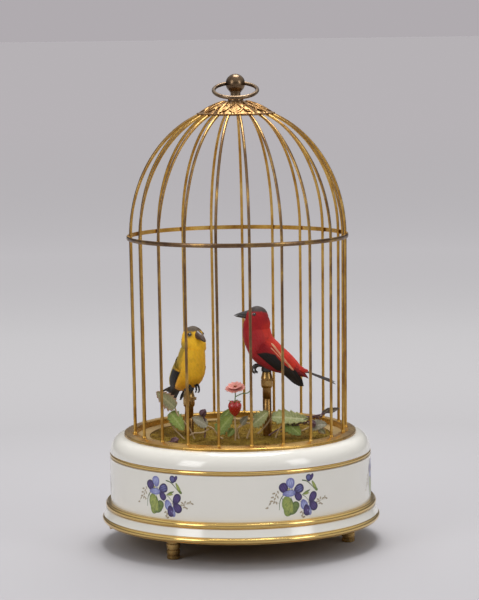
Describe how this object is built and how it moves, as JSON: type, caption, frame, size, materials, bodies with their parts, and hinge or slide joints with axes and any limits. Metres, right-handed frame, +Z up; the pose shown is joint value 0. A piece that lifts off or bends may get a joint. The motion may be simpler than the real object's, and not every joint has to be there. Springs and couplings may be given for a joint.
{
  "type": "singing bird cage automaton",
  "caption": "Domed wire bird cage on a round painted base, with feathered birds that turn and sing by a wound movement in the base.",
  "frame": {"origin": "centre of the base at the bottom of the feet", "axes": "+Z up along the cage's axis, -Y towards the front that the picture shows, +X to its right"},
  "size_m": [0.166, 0.1658, 0.2784],
  "materials": {
    "white_lacquer": "gloss",
    "gilt": "polished",
    "cage_brass": "satin",
    "base_brass": "satin",
    "floor_paint": "satin",
    "moss": "flocked",
    "leaf_green": "matt",
    "berry_red": "satin",
    "petal_pink": "matt",
    "red_feather": "feather",
    "yellow_feather": "feather",
    "black_feather": "feather",
    "dark_horn": "satin",
    "black_metal": "satin",
    "steel": "satin",
    "movement_brass": "satin",
    "bellows_board_wood": "satin",
    "bellows_skin": "matt"
  },
  "bodies": {
    "case": {"base_shell": "white_lacquer", "upper_moulding": "gilt", "middle_moulding": "gilt", "lower_moulding": "gilt", "bottom_plate": "base_brass", "bottom_screws": "base_brass", "feet": "base_brass", "floor_plate": "floor_paint", "moss_mat": "moss", "gallery_ring": "gilt", "cage_wires": "cage_brass", "shoulder_band": "cage_brass", "crown_cap": "gilt", "crown_clamp": "cage_brass", "finial": "gilt", "leaves": "leaf_green", "vine_stems": "leaf_green", "strawberry": "berry_red", "blossom": "petal_pink", "red_post": "cage_brass", "yellow_post": "cage_brass", "red_body": "red_feather", "yellow_body": "yellow_feather", "red_wings": "black_feather", "yellow_wings": "black_feather", "red_feet": "black_metal", "yellow_feet": "black_metal", "lower_movement_plate": "movement_brass", "upper_movement_plate": "movement_brass", "movement_pillars": "movement_brass", "lever_cocks": "movement_brass", "bellows_base": "bellows_board_wood", "bellows_leather": "bellows_skin", "whistle_tube": "movement_brass"},
    "hanger": {"suspension_ring": "cage_brass"},
    "winding": {"winding_arbor": "steel", "winding_key": "base_brass"},
    "barrel": {"mainspring_barrel": "movement_brass"},
    "click": {"click": "steel"},
    "centre_train": {"centre_wheel": "movement_brass", "cam_stack": "movement_brass"},
    "third_train": {"third_wheel": "movement_brass"},
    "fly": {"governor_fly": "movement_brass"},
    "turning": {"turn_lever": "steel"},
    "singing": {"song_lever": "steel"},
    "bellows": {"bellows_board": "bellows_board_wood"},
    "piston": {"whistle_piston": "steel"},
    "starting": {"start_lever": "base_brass"},
    "red_head_turning": {"red_head": "red_feather", "red_upper_beak": "dark_horn", "red_spindle": "steel"},
    "red_jaw": {"red_lower_beak": "dark_horn"},
    "red_tail_rocking": {"red_tail": "black_feather"},
    "red_wire": {"red_pull_wire": "steel"},
    "yellow_head_turning": {"yellow_head": "yellow_feather", "yellow_upper_beak": "dark_horn", "yellow_spindle": "steel"},
    "yellow_jaw": {"yellow_lower_beak": "dark_horn"},
    "yellow_tail_rocking": {"yellow_tail": "black_feather"},
    "yellow_wire": {"yellow_pull_wire": "steel"}
  },
  "joints": [
    {"name": "hanger_swing", "type": "hinge", "parent": "case", "child": "hanger", "pos_m": [0, 0, 0.27307], "axis": [-1, 0, 0], "range_deg": [-15, 225]},
    {"name": "winding_turn", "type": "hinge", "parent": "case", "child": "winding", "pos_m": [0.018, 0.02, 0.016], "axis": [0, 0, 1], "continuous": true},
    {"name": "barrel_spin", "type": "hinge", "parent": "case", "child": "barrel", "pos_m": [0.018, 0.02, 0.025], "axis": [0, 0, 1], "continuous": true},
    {"name": "centre_spin", "type": "hinge", "parent": "case", "child": "centre_train", "pos_m": [-0.005, 0.0298, 0.025], "axis": [0, 0, 1], "continuous": true},
    {"name": "third_spin", "type": "hinge", "parent": "case", "child": "third_train", "pos_m": [-0.0225, 0.0298, 0.035], "axis": [0, 0, 1], "continuous": true},
    {"name": "fly_spin", "type": "hinge", "parent": "case", "child": "fly", "pos_m": [-0.0297, 0.0202, 0.03], "axis": [0, 0, 1], "continuous": true},
    {"name": "click_rock", "type": "hinge", "parent": "case", "child": "click", "pos_m": [0.017, 0.0293, 0.017], "axis": [0, 0, 1], "range_deg": [0, 15], "stiffness_Nm_per_rad": 0.0004, "springref_deg": -11.46},
    {"name": "turn_rock", "type": "hinge", "parent": "case", "child": "turning", "pos_m": [-0.007, 0.0008, 0.0508], "axis": [0, 0, 1], "range_deg": [-6.57, 6.57]},
    {"name": "song_rock", "type": "hinge", "parent": "case", "child": "singing", "pos_m": [-0.00552, 0.01271, 0.0485], "axis": [-0.9923, 0.1235, 0], "range_deg": [0, 12], "stiffness_Nm_per_rad": 0.0008, "springref_deg": -17.19},
    {"name": "bellows_hinge", "type": "hinge", "parent": "case", "child": "bellows", "pos_m": [-0.045, -0.022, 0.0241], "axis": [0, -1, 0], "range_deg": [0, 9], "deforming": ["bellows_leather"]},
    {"name": "piston_slide", "type": "slide", "parent": "case", "child": "piston", "axis": [1, 0, 0], "range_m": [-0.01, 0.003]},
    {"name": "start_swing", "type": "hinge", "parent": "case", "child": "starting", "pos_m": [-0.05926, -0.00939, 0.012], "axis": [0, 0, 1], "range_deg": [0, 24]},
    {"name": "red_head_turn", "type": "hinge", "parent": "case", "child": "red_head_turning", "pos_m": [0.0163, -0.0021, 0.1278], "axis": [0, 0, 1], "range_deg": [-20, 20]},
    {"name": "red_beak", "type": "hinge", "parent": "red_head_turning", "child": "red_jaw", "pos_m": [0.0063, -0.0021, 0.1334], "axis": [0, -1, 0], "range_deg": [0, 15]},
    {"name": "red_tail_dip", "type": "hinge", "parent": "case", "child": "red_tail_rocking", "pos_m": [0.0328, -0.0021, 0.1068], "axis": [0, 1, 0], "range_deg": [0, 9]},
    {"name": "red_wire_pull", "type": "slide", "parent": "case", "child": "red_wire", "axis": [0, 0, 1], "range_m": [0, 0.0025]},
    {"name": "yellow_head_turn", "type": "hinge", "parent": "case", "child": "yellow_head_turning", "pos_m": [-0.0303, 0.0037, 0.1162], "axis": [0, 0, 1], "range_deg": [-20, 20]},
    {"name": "yellow_beak", "type": "hinge", "parent": "yellow_head_turning", "child": "yellow_jaw", "pos_m": [-0.02442, -0.00439, 0.1218], "axis": [0.809, 0.5878, 0], "range_deg": [0, 15]},
    {"name": "yellow_tail_dip", "type": "hinge", "parent": "case", "child": "yellow_tail_rocking", "pos_m": [-0.03701, 0.01877, 0.0952], "axis": [-0.9135, -0.4067, 0], "range_deg": [0, 9]},
    {"name": "yellow_wire_pull", "type": "slide", "parent": "case", "child": "yellow_wire", "axis": [0, 0, 1], "range_m": [0, 0.0025]}
  ],
  "couplings": [
    {"joint": "centre_spin", "follows": "barrel_spin", "ratio": -4},
    {"joint": "third_spin", "follows": "barrel_spin", "ratio": 16},
    {"joint": "fly_spin", "follows": "barrel_spin", "ratio": -64},
    {"joint": "red_head_turn", "follows": "turn_rock", "ratio": -3.044},
    {"joint": "red_beak", "follows": "song_rock", "ratio": 1.25},
    {"joint": "red_tail_dip", "follows": "song_rock", "ratio": 0.75},
    {"joint": "red_wire_pull", "follows": "song_rock", "m_per_rad": 0.011937},
    {"joint": "yellow_head_turn", "follows": "turn_rock", "ratio": -3.044},
    {"joint": "yellow_beak", "follows": "song_rock", "ratio": 1.25},
    {"joint": "yellow_tail_dip", "follows": "song_rock", "ratio": 0.75},
    {"joint": "yellow_wire_pull", "follows": "song_rock", "m_per_rad": 0.011937}
  ]
}
